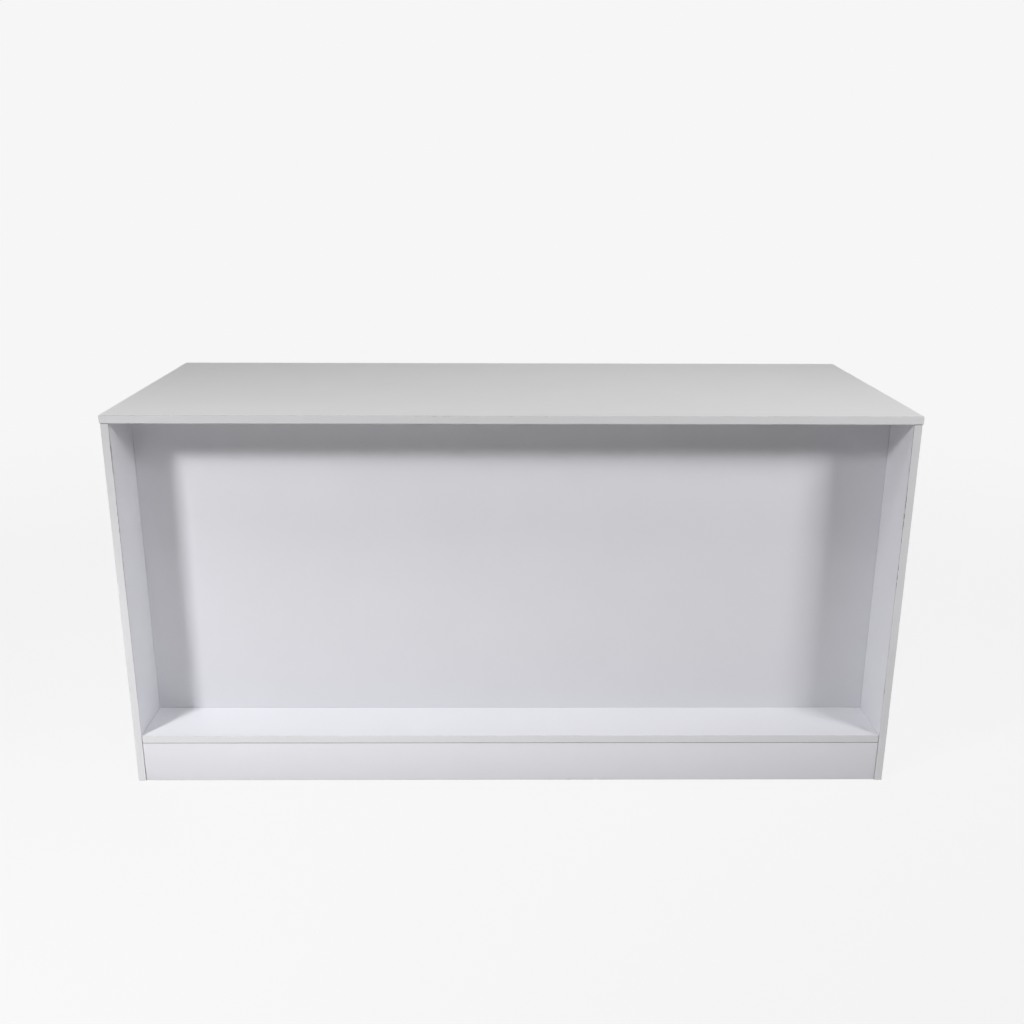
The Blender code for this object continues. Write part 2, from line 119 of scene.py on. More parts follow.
# Knocked places on the bands: which arris, where along the band, how long and how deep
NICKS = {
    "worktop_front_band": (
        (1, -0.852, 0.104, 0.0006),
        (1, -0.208, 0.020, 0.0009),
        (1, -0.171, 0.011, 0.0009),
        (1, -0.145, 0.021, 0.0010),
        (1, -0.003, 0.016, 0.0008),
        (1, 0.072, 0.013, 0.0009),
    ),
    "left_side_front_band": (
        (1, 0.825, 0.020, 0.0003),
        (1, 0.804, 0.020, 0.0003),
        (1, 0.777, 0.026, 0.0002),
        (1, 0.702, 0.014, 0.0004),
        (1, 0.676, 0.012, 0.0005),
        (1, 0.657, 0.016, 0.0004),
        (1, 0.636, 0.010, 0.0004),
        (1, 0.611, 0.012, 0.0004),
    ),
    "right_side_front_band": (
        (-1, 0.778, 0.012, 0.0004),
        (-1, 0.733, 0.010, 0.0005),
        (-1, 0.710, 0.020, 0.0007),
        (-1, 0.693, 0.014, 0.0006),
        (-1, 0.671, 0.014, 0.0009),
        (-1, 0.653, 0.016, 0.0008),
        (-1, 0.613, 0.014, 0.0004),
        (-1, 0.548, 0.014, 0.0007),
        (-1, 0.524, 0.014, 0.0007),
        (-1, 0.506, 0.014, 0.0006),
        (-1, 0.350, 0.010, 0.0004),
        (-1, 0.237, 0.014, 0.0005),
    ),
    "base_deck_front_band": (
        (1, 0.018, 0.012, 0.0004),
        (1, 0.060, 0.018, 0.0005),
        (1, 0.099, 0.018, 0.0005),
        (1, 0.154, 0.012, 0.0004),
        (1, 0.236, 0.012, 0.0003),
    ),
}
# Bands whose ends the trimmer cut short: at the low end and at the high end
END_TRIMS = {
    "left_side_front_band": (0.0, 0.0007),
    "right_side_front_band": (0.0, 0.0010),
    "base_deck_front_band": (0.0009, 0.0009),
}
# Bands whose end corners are rounder than the rest
ROUND_ENDS = {"base_deck_front_band": 0.0028}
# How wear varies along a band: a scrape fades at its ends over a length, and deepens in broad and fine waves
SCRAPE_FADE = 0.05
SCRAPE_BROAD_WAVE = 0.045
SCRAPE_FINE_WAVE = 0.008
NICK_WAVE = 0.005
# A nick this deep is stained the most
STAINED_DEPTH = 0.0012
# Waves of a trimmed arris and of the glue line
ARRIS_WAVE = 0.09
GLUE_WAVE = 0.02
# Saw chips on a side panel's front arris: depth, and knocked spots by height, half length and added depth
CHIPS = {
    "left_side_panel": {"depth": 0.0009, "spots": ((0.8245, 0.012, 0.0012), (0.804, 0.012, 0.0012))},
    "right_side_panel": {"depth": 0.0008, "spots": ((0.671, 0.010, 0.002), (0.645, 0.014, 0.0015))},
}
# Painted shade at the front plinth's foot, a contact shadow: how high it reaches, and the stretch of its
# length where it is heaviest
FOOT_SHADE = {"height": 0.006, "start": 0.06, "end": 0.29}
CAPPED_SCREWS = tuple(
    f"{side}_{joint}"
    for side in ("left", "right")
    for joint in ("deck_screw_front", "deck_screw_rear", "panel_screw_lower", "panel_screw_upper")
)
PINS = tuple(
    f"{side}_shelf_pin_{end}_{row}"
    for side in ("left", "right")
    for end in ("outer", "inner")
    for row in ("front", "rear")
)
CAMS = ("left_front", "left_rear", "right_front", "right_rear", "panel_left", "panel_right")
STEEL_NODES = tuple(
    name for name in frame["nodes"] if "screw" in name or name.startswith("cam_bolt_")
)
DOWELS = ("upright_dowel_lower", "upright_dowel_upper")

# Shelf pins: shank, thickness and chamfer of the collar, and how far a pin stands out of its board
PIN_RADIUS = 0.0025
PIN_COLLAR = 0.001
PIN_CHAMFER = 0.0002
PIN_REACH = 0.010
# Cams: thickness of the head, width and height of its rim, and the wall behind it with its window
CAM_HEAD = 0.0040
CAM_RIM = 0.0022
CAM_STEP = 0.0003
CAM_WALL = 0.0016
CAM_WALL_INSET = 0.0001
CAM_WALL_LAP = 0.0002
CAM_WINDOW = math.tau / 5
# Screw caps: rings of the crown as shares of the radius, and its foot and shoulder as shares of the height
CAP_RINGS = (0.0, 0.3, 0.55, 0.75, 0.9)
CAP_FOOT = 0.45
CAP_SHOULDER = 0.36
# Softboxes: which power, place, the point that each is turned to, width and height, and spread in degrees.
# The left one is turned below the floor, so that its light fades upwards.
SOFTBOXES = {
    "left_softbox": ("left_power", (-2.14, -2.26, 2.30), (0.36, -0.30, -1.78), (0.43, 0.43), 97.4),
    "right_softbox": ("right_power", (2.52, -1.85, 2.20), (0.91, -0.30, 1.34), (0.68, 0.68), 73.8),
    "ceiling_softbox": ("ceiling_power", (-0.16, -1.27, 3.34), (0.30, 0.00, 0.90), (0.53, 0.53), 180.0),
    "rear_softbox": ("rear_power", (0.00, 7.00, 1.20), (0.00, 0.00, 1.20), (6.00, 1.60), 180.0),
    "left_end_softbox": ("end_power", (-6.00, 0.80, 0.55), (0.00, 0.80, 0.55), (2.20, 0.66), 180.0),
    "right_end_softbox": ("end_power", (6.00, 0.80, 0.55), (0.00, 0.80, 0.55), (2.20, 0.66), 180.0),
}
# Studio floor: half its width, where it fades into the backdrop, and its tone and glow near the counter
FLOOR_HALF = 30.0
FADE_START = 1.2
FADE_END = 4.5
FLOOR_TONE = 0.07
FLOOR_GLOW = 0.935

TOLERANCE = 0.00001
TURNED_SIDES = 40
SHARP_ANGLE = math.radians(35)
# A face belongs to the melamine if its normal has this much of the board's own direction
FACING = 0.95


def linear(code):
    """An sRGB hex colour as linear red, green and blue."""
    levels = [int(code[i:i + 2], 16) / 255 for i in (1, 3, 5)]
    return tuple(c / 12.92 if c <= 0.04045 else ((c + 0.055) / 1.055) ** 2.4 for c in levels)


def per(millimetres):
    """Texture scale at which a pattern's features are this many millimetres wide."""
    return 1000.0 / millimetres


def colour_choice(name, description, code):
    """A colour that a user may change, from its sRGB hex value."""
    return FloatVectorProperty(name=name, description=description, subtype="COLOR", default=linear(code))


def number_choice(name, description, default, subtype="DISTANCE"):
    """A number that a user may change, a length in metres unless its subtype says otherwise."""
    return FloatProperty(name=name, description=description, subtype=subtype, default=default)


class CounterFinishes(bpy.types.PropertyGroup):
    """Colours of the counter's materials"""

    melamine: colour_choice("Melamine", "White of the boards' pressed faces", "#E5E5EA")
    # The back panel's darker, bluer white is painted shade of the recess
    panel: colour_choice("Back panel", "White of the recess's back panel, from another batch", "#DEDEE3")
    # The worktop's warmer, less blue white is painted light: it stands in for the warmer light from above
    worktop: colour_choice("Worktop", "White of the worktop, less blue than the other boards", "#E7E7E8")
    # Painted shade: the worktop's underside is greyed so that less light bounces into the recess below it
    darker_underside: colour_choice("Backing", "Grey paper pressed on the worktop's underside", "#C8C6C3")
    # The plinth's white is only tuned to how the plinth is lit: painted shade
    plinth: colour_choice("Plinth", "White of the front plinth, greyed by cleaning", "#E5E4E9")
    band: colour_choice("Edge band", "White of the plastic edge bands and screw caps", "#E3E2E4")
    # The worktop band's greyer white is painted shade, for light that falls off towards the top of the
    # counter
    worktop_band: colour_choice("Worktop band", "Greyer white of the worktop's front band", "#D1D0D2")
    chipboard: colour_choice("Chipboard", "Brown of the boards' raw core", "#A08D78")
    glue: colour_choice("Glue", "Hot-melt glue behind the edge bands", "#8A8178")
    wiped_glue: colour_choice("Wiped glue", "Clean glue behind the worktop's and deck's bands", "#CFCCC8")
    nickel: colour_choice("Nickel", "Plating of the pins, screws and bolts", "#CDC9C0")
    zinc: colour_choice("Zinc", "Die-cast metal of the cams", "#B9BABC")
    beech: colour_choice("Beech", "Bare wood of the dowels", "#C79A6B")


class CounterEdges(bpy.types.PropertyGroup):
    """Sizes of the edge bands and of the boards' sawn edges"""

    station: number_choice("Station", "Distance between the cross cuts of a band", 0.003)
    band_arris: number_choice("Band arris", "Radius that the trimmer leaves on a band", 0.0004)
    wander: number_choice("Wander", "How far a trimmed arris strays from straight", 0.00025)
    margin: number_choice("Margin", "Strip along a band's arris that wear may reach", 0.0026)
    corner: number_choice("Band corner", "Radius at the corners of a band's ends", 0.0010)
    glue_sink: number_choice("Glue sink", "Glue line below the board's face", 0.00015)
    sawn_arris: number_choice("Sawn arris", "Broken corner of a board with no band", 0.0003)
    plinth_fit: number_choice("Plinth fit", "How far the front plinth's ends come into their gaps", 0.0009)
    plinth_drop: number_choice("Plinth drop", "Front plinth's top below the frame's", 0.0002)
    plinth_skew: number_choice("Plinth skew", "Front plinth's left end out of square at the floor", 0.0004)


class CounterFittings(bpy.types.PropertyGroup):
    """Sizes of the screw caps, shelf pins and cams"""

    cap_radius: number_choice("Cap radius", "Plastic cap over a screw head", 0.0065)
    cap_height: number_choice("Cap height", "Crown of a cap above the board's face", 0.0014)
    pin_round: number_choice("Pin rounding", "Rounded end of a shelf pin", 0.0008)
    cam_slot: number_choice("Cam slot", "Width of a cam's cross slot", 0.0018)
    cam_slot_depth: number_choice("Cam slot depth", "Depth of a cam's cross slot", 0.0022)


class CounterStudio(bpy.types.PropertyGroup):
    """Camera, lamps and background"""

    eye: FloatVectorProperty(
        name="Eye",
        description="Place of the camera",
        subtype="TRANSLATION",
        default=(-0.0239, -2.6954, 1.4033),
    )
    lens: number_choice("Lens", "Focal length in millimetres on a 36 mm sensor", 38.517, "NONE")
    tilt: number_choice("Tilt", "Camera below the horizon", math.radians(17.116), "ANGLE")
    turn: number_choice("Turn", "Camera right of straight ahead", math.radians(0.560), "ANGLE")
    roll: number_choice("Roll", "Camera leaning to its left", math.radians(0.218), "ANGLE")
    backdrop: colour_choice("Backdrop", "Pale grey behind the counter", "#F6F6F6")
    ambient: number_choice("Ambient", "Strength of the room's soft light", 0.004, "NONE")
    left_power: number_choice("Left softbox", "Power on the left of the customer side", 25.4, "POWER")
    right_power: number_choice("Right softbox", "Power on the right of the customer side", 11.5, "POWER")
    ceiling_power: number_choice("Ceiling softbox", "Power above the worktop", 18.0, "POWER")
    rear_power: number_choice("Rear softbox", "Power of the wide one on the staff side", 360.0, "POWER")
    end_power: number_choice("End softboxes", "Power of each one beside the counter's ends", 80.0, "POWER")
    floor_bounce: number_choice("Floor bounce", "Share of light the floor throws back", 0.785, "NONE")


def put(tree, kind, inputs=None, **settings):
    """Add a shader node with its settings, then fill or link its sockets."""
    node = tree.nodes.new("ShaderNode" + kind)
    for name, value in settings.items():
        setattr(node, name, value)
    for socket, value in (inputs or {}).items():
        if isinstance(value, bpy.types.NodeSocket):
            tree.links.new(value, node.inputs[socket])
        else:
            node.inputs[socket].default_value = value
    return node


def new_finish(name):
    """A new material, with its node tree and its shader."""
    made = bpy.data.materials.new(name)
    made.use_nodes = True
    return made, made.node_tree, made.node_tree.nodes["Principled BSDF"]


def shade(colour, level):
    """A colour made darker or lighter, with the alpha that a socket needs."""
    return (*(c * level for c in colour), 1.0)


def mottled(tree, place, colour, grain, detail, dark, light):
    """Noise with a grain in millimetres, and a colour that it turns from a darker to a lighter shade."""
    speckle = put(tree, "TexNoise", {"Vector": place, "Scale": per(grain), "Detail": detail}).outputs["Fac"]
    tones = {0: speckle, 6: shade(colour, dark), 7: shade(colour, light)}
    return speckle, put(tree, "Mix", tones, data_type="RGBA").outputs[2]


def finish_surface(tree, shader, colour, pattern, satin, relief=0.0):
    """Give a shader its colour, and a roughness and a fine relief that follow a pattern."""
    rough = put(tree, "MapRange", {"Value": pattern, "To Min": satin[0], "To Max": satin[1]})
    tree.links.new(colour, shader.inputs["Base Color"])
    tree.links.new(rough.outputs[0], shader.inputs["Roughness"])
    if relief:
        bump = put(tree, "Bump", {"Height": pattern, "Strength": relief, "Distance": 0.0001})
        tree.links.new(bump.outputs[0], shader.inputs["Normal"])


def chipboard_colour(tree, place, colour):
    """Pressed flakes, two or three millimetres wide, with resin-dark gaps and fine dust between them."""
    flakes = put(tree, "TexVoronoi", {"Vector": place, "Scale": per(3.0)})
    flake = put(tree, "SeparateColor", {0: flakes.outputs["Color"]})
    tones = {0: flake.outputs[0], 6: shade(colour, 0.72), 7: shade(colour, 1.22)}
    tone = put(tree, "Mix", tones, data_type="RGBA")
    dust = put(tree, "TexNoise", {"Vector": place, "Scale": per(1.1), "Detail": 3.0})
    gaps = {"Value": dust.outputs["Fac"], "From Min": 0.56, "From Max": 0.64, "To Max": 0.7}
    spots = put(tree, "MapRange", gaps)
    dusted = {0: spots.outputs[0], 6: tone.outputs[2], 7: shade(colour, 0.42)}
    return put(tree, "Mix", dusted, data_type="RGBA").outputs[2]


def chipped_line(tree, place, edge, depth, spots):
    """Mask of the saw chips along a board's front edge, deepest at the knocked spots on its height."""
    where = put(tree, "SeparateXYZ", {0: place})
    height = where.outputs[Z]
    behind = put(tree, "Math", {0: where.outputs[Y], 1: edge}, operation="SUBTRACT")
    broad = put(tree, "TexNoise", {"W": height, "Scale": per(30.0)}, noise_dimensions="1D")
    patchy = put(tree, "MapRange", {"Value": broad.outputs["Fac"], "From Min": 0.4, "From Max": 0.7})
    upper = put(tree, "MapRange", {"Value": height, "From Min": 0.45, "From Max": 0.8, "To Max": depth})
    reach = put(tree, "Math", {0: patchy.outputs[0], 1: upper.outputs[0]}, operation="MULTIPLY").outputs[0]
    for middle, half, extra in spots:
        offset = put(tree, "Math", {0: height, 1: middle}, operation="SUBTRACT")
        away = put(tree, "Math", {0: offset.outputs[0]}, operation="ABSOLUTE")
        knock = {"Value": away.outputs[0], "From Max": half, "To Min": extra, "To Max": 0.0}
        spot = put(tree, "MapRange", knock, interpolation_type="SMOOTHSTEP")
        reach = put(tree, "Math", {0: reach, 1: spot.outputs[0]}, operation="ADD").outputs[0]
    ragged = put(tree, "TexNoise", {"W": height, "Scale": per(4.0), "Detail": 3.0}, noise_dimensions="1D")
    tears = {"Value": ragged.outputs["Fac"], "From Min": 0.3, "From Max": 0.7, "To Min": 0.4, "To Max": 1.3}
    torn = put(tree, "MapRange", tears)
    limit = put(tree, "Math", {0: reach, 1: torn.outputs[0]}, operation="MULTIPLY")
    inside = put(tree, "Math", {0: limit.outputs[0], 1: behind.outputs[0]}, operation="SUBTRACT")
    margin = {"Value": inside.outputs[0], "From Min": -0.0001, "From Max": 0.0002}
    return put(tree, "MapRange", margin).outputs[0]


def darkened_foot(tree, place, white, height, start, end):
    """Painted shade on a plinth's foot, a contact shadow, heaviest on one stretch of its length."""
    where = put(tree, "SeparateXYZ", {0: place})
    foot = {"Value": where.outputs[Z], "From Max": height, "To Min": 1.0, "To Max": 0.0}
    low = put(tree, "MapRange", foot, interpolation_type="SMOOTHSTEP")
    offset = put(tree, "Math", {0: where.outputs[X], 1: (start + end) / 2}, operation="SUBTRACT")
    away = put(tree, "Math", {0: offset.outputs[0]}, operation="ABSOLUTE")
    heavy = {"Value": away.outputs[0], "From Max": (end - start) / 2, "To Min": 0.75, "To Max": 0.2}
    stretch = put(tree, "MapRange", heavy, interpolation_type="SMOOTHSTEP")
    broken = put(tree, "TexNoise", {"Vector": place, "Scale": per(14.0), "Detail": 3.0})
    patchy = put(tree, "MapRange", {"Value": broken.outputs["Fac"], "From Min": 0.3, "From Max": 0.7})
    part = put(tree, "Math", {0: low.outputs[0], 1: stretch.outputs[0]}, operation="MULTIPLY")
    amount = put(tree, "Math", {0: part.outputs[0], 1: patchy.outputs[0]}, operation="MULTIPLY")
    grey = shade(bpy.context.scene.counter_finishes.melamine, 0.38)
    return put(tree, "Mix", {0: amount.outputs[0], 6: white, 7: grey}, data_type="RGBA").outputs[2]


def white_melamine(name, facing, white, chips=None, foot_shade=None, darker_underside=None):
    """White melamine pressed on chipboard with a fine pearl plate: satin, even, faintly uneven in tone.

    The faces look along one axis; every other face shows the sawn chipboard. Chips run along a front edge,
    painted shade darkens the face near the floor as a contact shadow, and a greyer white takes the white's
    place on the face that looks down: painted shade, which deepens the shadow under it.
    """
    colours = bpy.context.scene.counter_finishes
    made, tree, shader = new_finish(name)
    coordinates = put(tree, "TexCoord")
    place = coordinates.outputs["Object"]
    normal = put(tree, "SeparateXYZ", {0: coordinates.outputs["Normal"]})
    towards = put(tree, "Math", {0: normal.outputs[facing]}, operation="ABSOLUTE")
    face = put(tree, "Math", {0: towards.outputs[0], 1: FACING}, operation="GREATER_THAN").outputs[0]
    if chips:
        chipped = chipped_line(tree, place, **chips)
        whole = put(tree, "Math", {0: 1.0, 1: chipped}, operation="SUBTRACT")
        face = put(tree, "Math", {0: face, 1: whole.outputs[0]}, operation="MULTIPLY").outputs[0]
    surface = mottled(tree, place, white, grain=160.0, detail=2.0, dark=0.985, light=1.015)[1]
    # Painted shade: a greyer underside, so that less light bounces into the recess under it
    if darker_underside:
        under = put(tree, "Math", {0: normal.outputs[facing], 1: -FACING}, operation="LESS_THAN")
        underside_grey = mottled(tree, place, darker_underside, grain=6.0, detail=4.0, dark=0.94, light=1.06)[1]
        sides = {0: under.outputs[0], 6: surface, 7: underside_grey}
        surface = put(tree, "Mix", sides, data_type="RGBA").outputs[2]
    # Painted shade at the foot: a contact shadow
    if foot_shade:
        surface = darkened_foot(tree, place, surface, **foot_shade)
    core = chipboard_colour(tree, place, colours.chipboard)
    colour = put(tree, "Mix", {0: face, 6: core, 7: surface}, data_type="RGBA")
    handled_and_shaded = put(tree, "TexNoise", {"Vector": place, "Scale": per(70.0), "Detail": 4.0})
    satin = put(tree, "MapRange", {"Value": handled_and_shaded.outputs["Fac"], "To Min": 0.42, "To Max": 0.56})
    rough = put(tree, "Mix", {0: face, 2: 0.9, 3: satin.outputs[0]})
    # The pearl of the pressing plate is about half a millimetre, drawn here at 1.6 mm so that it shows
    pearl = put(tree, "TexNoise", {"Vector": place, "Scale": per(1.6), "Detail": 1.0})
    relief = put(tree, "Bump", {"Height": pearl.outputs["Fac"], "Strength": 0.12, "Distance": 0.0002})
    tree.links.new(colour.outputs[2], shader.inputs["Base Color"])
    tree.links.new(rough.outputs[0], shader.inputs["Roughness"])
    tree.links.new(relief.outputs[0], shader.inputs["Normal"])
    shader.inputs["IOR"].default_value = 1.48
    return made


def white_edge_band(along, greyer=False):
    """Extruded white plastic band: faint draw lines along its length, greyed and browned where it is worn.

    An upright band is also painted darker towards its top: painted shade, for light that falls off upwards.
    """
    name = f"{'grey' if greyer else 'white'}_edge_band_{'xyz'[along]}"
    found = bpy.data.materials.get(name)
    if found:
        return found
    colours = bpy.context.scene.counter_finishes
    # The worktop's front band takes a greyer white: painted shade
    plastic = colours.worktop_band if greyer else colours.band
    made, tree, shader = new_finish(name)
    place = put(tree, "TexCoord").outputs["Object"]
    squeeze = [1.0, 1.0, 1.0]
    squeeze[along] = 0.01
    drawn = put(tree, "Mapping", {"Vector": place, "Scale": squeeze}).outputs[0]
    lines, white = mottled(tree, drawn, plastic, grain=0.9, detail=2.0, dark=0.975, light=1.02)
    if along == Z:
        # Painted shade: darker towards the top, where less light falls on the upright bands
        height = put(tree, "SeparateXYZ", {0: place}).outputs[Z]
        handled_and_shaded = put(tree, "MapRange", {"Value": height, "From Min": 0.42, "From Max": 0.89})
        painted_falloff = {0: handled_and_shaded.outputs[0], 6: white, 7: (0.78, 0.78, 0.78, 1.0)}
        white = put(tree, "Mix", painted_falloff, data_type="RGBA", blend_type="MULTIPLY").outputs[2]
    grime = put(tree, "TexNoise", {"Vector": place, "Scale": per(9.0), "Detail": 4.0})
    patches = put(tree, "MapRange", {"Value": grime.outputs["Fac"], "From Min": 0.42, "From Max": 0.7})
    arris = put(tree, "Attribute", attribute_name="arris")
    rubbed = put(tree, "Math", {0: arris.outputs["Fac"], 1: patches.outputs[0]}, operation="MULTIPLY")
    greys = {0: rubbed.outputs[0], 6: white, 7: shade(plastic, 0.8)}
    greyed = put(tree, "Mix", greys, data_type="RGBA")
    nick = put(tree, "Attribute", attribute_name="nick")
    torn = put(tree, "MapRange", {"Value": nick.outputs["Fac"], "From Min": 0.35, "To Max": 0.65})
    browns = {0: torn.outputs[0], 6: greyed.outputs[2], 7: shade(colours.chipboard, 0.9)}
    stained = put(tree, "Mix", browns, data_type="RGBA")
    finish_surface(tree, shader, stained.outputs[2], lines, satin=(0.36, 0.50), relief=0.10)
    shader.inputs["IOR"].default_value = 1.50
    return made


def hot_melt_glue(wiped):
    """Hot-melt glue: a thin, uneven, slightly shiny line, browned by dirt unless it is often wiped."""
    name = "wiped_hot_melt_glue" if wiped else "hot_melt_glue"
    found = bpy.data.materials.get(name)
    if found:
        return found
    colours = bpy.context.scene.counter_finishes
    glue = colours.wiped_glue if wiped else colours.glue
    dark, light = (0.8, 1.2) if wiped else (0.6, 1.7)
    made, tree, shader = new_finish(name)
    place = put(tree, "TexCoord").outputs["Object"]
    dirt = put(tree, "TexNoise", {"Vector": place, "Scale": per(25.0), "Detail": 4.0}).outputs["Fac"]
    amount = put(tree, "MapRange", {"Value": dirt, "From Min": 0.35, "From Max": 0.65})
    tones = {0: amount.outputs[0], 6: shade(glue, dark), 7: shade(glue, light)}
    colour = put(tree, "Mix", tones, data_type="RGBA")
    finish_surface(tree, shader, colour.outputs[2], dirt, satin=(0.3, 0.6))
    return made


def metal(name, colour, roughness, grain, relief):
    """A bare or plated metal: fine grain of a size in millimetres, and roughness that varies with it."""
    made, tree, shader = new_finish(name)
    place = put(tree, "TexCoord").outputs["Object"]
    speckle, tone = mottled(tree, place, colour, grain, detail=3.0, dark=0.86, light=1.08)
    finish_surface(tree, shader, tone, speckle, (roughness - 0.08, roughness + 0.12), relief)
    shader.inputs["Metallic"].default_value = 1.0
    return made


def nickel_plate():
    """Nickel-plated steel: bright and slightly warm, with the barrel polish's soft haze."""
    colour = bpy.context.scene.counter_finishes.nickel
    found = bpy.data.materials.get("nickel_plate")
    return found or metal("nickel_plate", colour, roughness=0.28, grain=0.8, relief=0.05)


def die_cast_zinc():
    """Die-cast zinc: grey, grainy and dull from the mould."""
    colour = bpy.context.scene.counter_finishes.zinc
    return metal("die_cast_zinc", colour, roughness=0.45, grain=0.6, relief=0.25)


def bare_beech():
    """Bare beech: pale brown, with short darker flecks along the dowel."""
    wood = bpy.context.scene.counter_finishes.beech
    made, tree, shader = new_finish("bare_beech")
    place = put(tree, "TexCoord").outputs["Object"]
    along = put(tree, "Mapping", {"Vector": place, "Scale": (1.0, 0.12, 1.0)}).outputs[0]
    flecks, colour = mottled(tree, along, wood, grain=0.8, detail=3.0, dark=0.65, light=1.2)
    finish_surface(tree, shader, colour, flecks, satin=(0.6, 0.8))
    return made


def moulded_cap():
    """Injection-moulded white cap: even, a touch glossier than the bands, with a fine spark texture."""
    plastic = bpy.context.scene.counter_finishes.band
    made, tree, shader = new_finish("moulded_cap")
    place = put(tree, "TexCoord").outputs["Object"]
    spark, colour = mottled(tree, place, plastic, grain=0.5, detail=2.0, dark=0.97, light=1.02)
    finish_surface(tree, shader, colour, spark, satin=(0.30, 0.42), relief=0.08)
    return made


def give(node, finish):
    """Put a finish on a node of the frame."""
    slots = frame["nodes"][node].material_slots
    if not slots:
        raise RuntimeError(f"{node} has no material slot")
    for slot in slots:
        slot.material = finish


def add_piece(name, shape, finishes, body, replaced=()):
    """Make a shape a piece of the counter that rides on a body and may stand for nodes of the frame."""
    bmesh.ops.recalc_face_normals(shape, faces=shape.faces)
    mesh = bpy.data.meshes.new(name)
    shape.to_mesh(mesh)
    shape.free()
    for finish in finishes:
        mesh.materials.append(finish)
    mesh.shade_smooth()
    mesh.set_sharp_from_angle(angle=SHARP_ANGLE)
    piece = bpy.data.objects.new(name, mesh)
    bpy.context.scene.collection.objects.link(piece)
    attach(piece, body)
    if replaced:
        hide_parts(*replaced)


def body_of(node):
    """The body that a node of the frame rides on."""
    return frame["nodes"][node]["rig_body"]


def block(shape, low, high, cuts=0):
    """Add a block between two corners to a shape, with cross cuts along its local X; return its vertices."""
    low, high = Vector(low), Vector(high)
    before = set(shape.verts)
    corners = bmesh.ops.create_cube(shape, size=1.0)["verts"]
    bmesh.ops.scale(shape, vec=high - low, verts=corners)
    bmesh.ops.translate(shape, vec=(low + high) / 2, verts=corners)
    edges = dict.fromkeys(edge for corner in corners for edge in corner.link_edges)
    lengthwise = [e for e in edges if abs(e.verts[0].co.x - e.verts[1].co.x) > TOLERANCE]
    if cuts:
        bmesh.ops.subdivide_edges(shape, edges=lengthwise, cuts=cuts, use_grid_fill=True)
    return [corner for corner in shape.verts if corner not in before]


def soften(shape, edges, width, segments):
    """Round a set of edges, and return the faces of the rounding."""
    return bmesh.ops.bevel(
        shape,
        geom=edges,
        offset=width,
        segments=segments,
        profile=0.5,
        affect="EDGES",
        material=-1,
    )["faces"]


def stray(along, wavelength, seed):
    """A smooth wandering between -1 and 1 along a line."""
    return noise.noise(Vector((along / wavelength, seed, 0.5)))


def nick_depth(node, side, along, seed):
    """How deep one arris of a band is scraped and knocked at a point along it."""
    scraped = 0.0
    for arris, depth, start, end in SCRAPES.get(node, ()):
        if arris == side:
            scraped += depth * min(1.0, max(0.0, min(along - start, end - along) / SCRAPE_FADE))
    broad = stray(along, SCRAPE_BROAD_WAVE, seed)
    fine = stray(along, SCRAPE_FINE_WAVE, seed + 3)
    scraped *= 1.0 + 0.6 * broad + 0.4 * fine
    knocked = 0.0
    for arris, middle, length, depth in NICKS.get(node, ()):
        away = abs(along - middle) / (length / 2)
        if arris == side and away < 1.0:
            torn = 0.9 + 0.5 * stray(along, NICK_WAVE, middle)
            knocked = max(knocked, depth * torn * min(1.0, 3.0 * (1.0 - away)))
    return scraped + knocked


def is_end_corner(edge, low, high):
    """Whether an edge runs through a band's thickness at one of its four corners."""
    for corner in edge.verts:
        if min(corner.co.x - low.x, high.x - corner.co.x) > TOLERANCE:
            return False
        if min(corner.co.y - low.y, high.y - corner.co.y) > TOLERANCE:
            return False
    return True


def band_shape(node, low, high, sizes, seed):
    """An edge band in its own frame: X along it, Y across it, and Z out of the board's edge from 0.

    Its outer arrises are rounded, wander a little and dip where they are scraped or knocked. The arris
    attribute marks them, and the nick attribute says how deep they dip.
    """
    shape = bmesh.new()
    arris_layer = shape.verts.layers.float.new("arris")
    nick_layer = shape.verts.layers.float.new("nick")
    block(shape, low, high, max(2, round((high.x - low.x) / sizes.station)))
    for y in (low.y + sizes.margin, high.y - sizes.margin):
        parts = shape.verts[:] + shape.edges[:] + shape.faces[:]
        bmesh.ops.bisect_plane(shape, geom=parts, plane_co=(0, y, 0), plane_no=(0, 1, 0))
    ends = [e for e in shape.edges if is_end_corner(e, low, high)]
    soften(shape, ends, ROUND_ENDS.get(node, sizes.corner), 4)
    outer = [e for e in shape.edges if all(abs(v.co.z - high.z) < TOLERANCE for v in e.verts)]
    rim = [e for e in outer if any(abs(f.normal.z) < 0.5 for f in e.link_faces)]
    for face in soften(shape, rim, sizes.band_arris, 3):
        for corner in face.verts:
            corner[arris_layer] = float(corner.co.z < high.z - TOLERANCE)
    middle = (low.y + high.y) / 2
    reach = (high.y - low.y) / 2 - sizes.margin / 2
    for corner in shape.verts:
        across = corner.co.y - middle
        if abs(across) < reach:
            continue
        side = 1 if across > 0 else -1
        depth = nick_depth(node, side, corner.co.x, seed)
        wander = sizes.wander * (stray(corner.co.x, ARRIS_WAVE, seed + side) - 0.6)
        corner.co.y += side * (min(0.0, wander) - depth)
        corner[nick_layer] = min(1.0, depth / STAINED_DEPTH)
    return shape


def add_glue_line(shape, low, high, gap, sizes, seed):
    """Add the glue line behind a band, a little below the faces and uneven along its length."""
    sink = Vector((0, sizes.glue_sink, 0))
    before = set(shape.faces)
    cuts = max(2, round((high.x - low.x) / (2 * sizes.station)))
    foot = Vector((low.x, low.y, low.z - gap)) + sink
    top = Vector((high.x, high.y, low.z)) - sink
    middle = (low.y + high.y) / 2
    for corner in block(shape, foot, top, cuts):
        side = 1 if corner.co.y > middle else -1
        corner.co.y += side * sizes.glue_sink * stray(corner.co.x, GLUE_WAVE, seed + 7 * side)
    for face in set(shape.faces) - before:
        face.material_index = 1


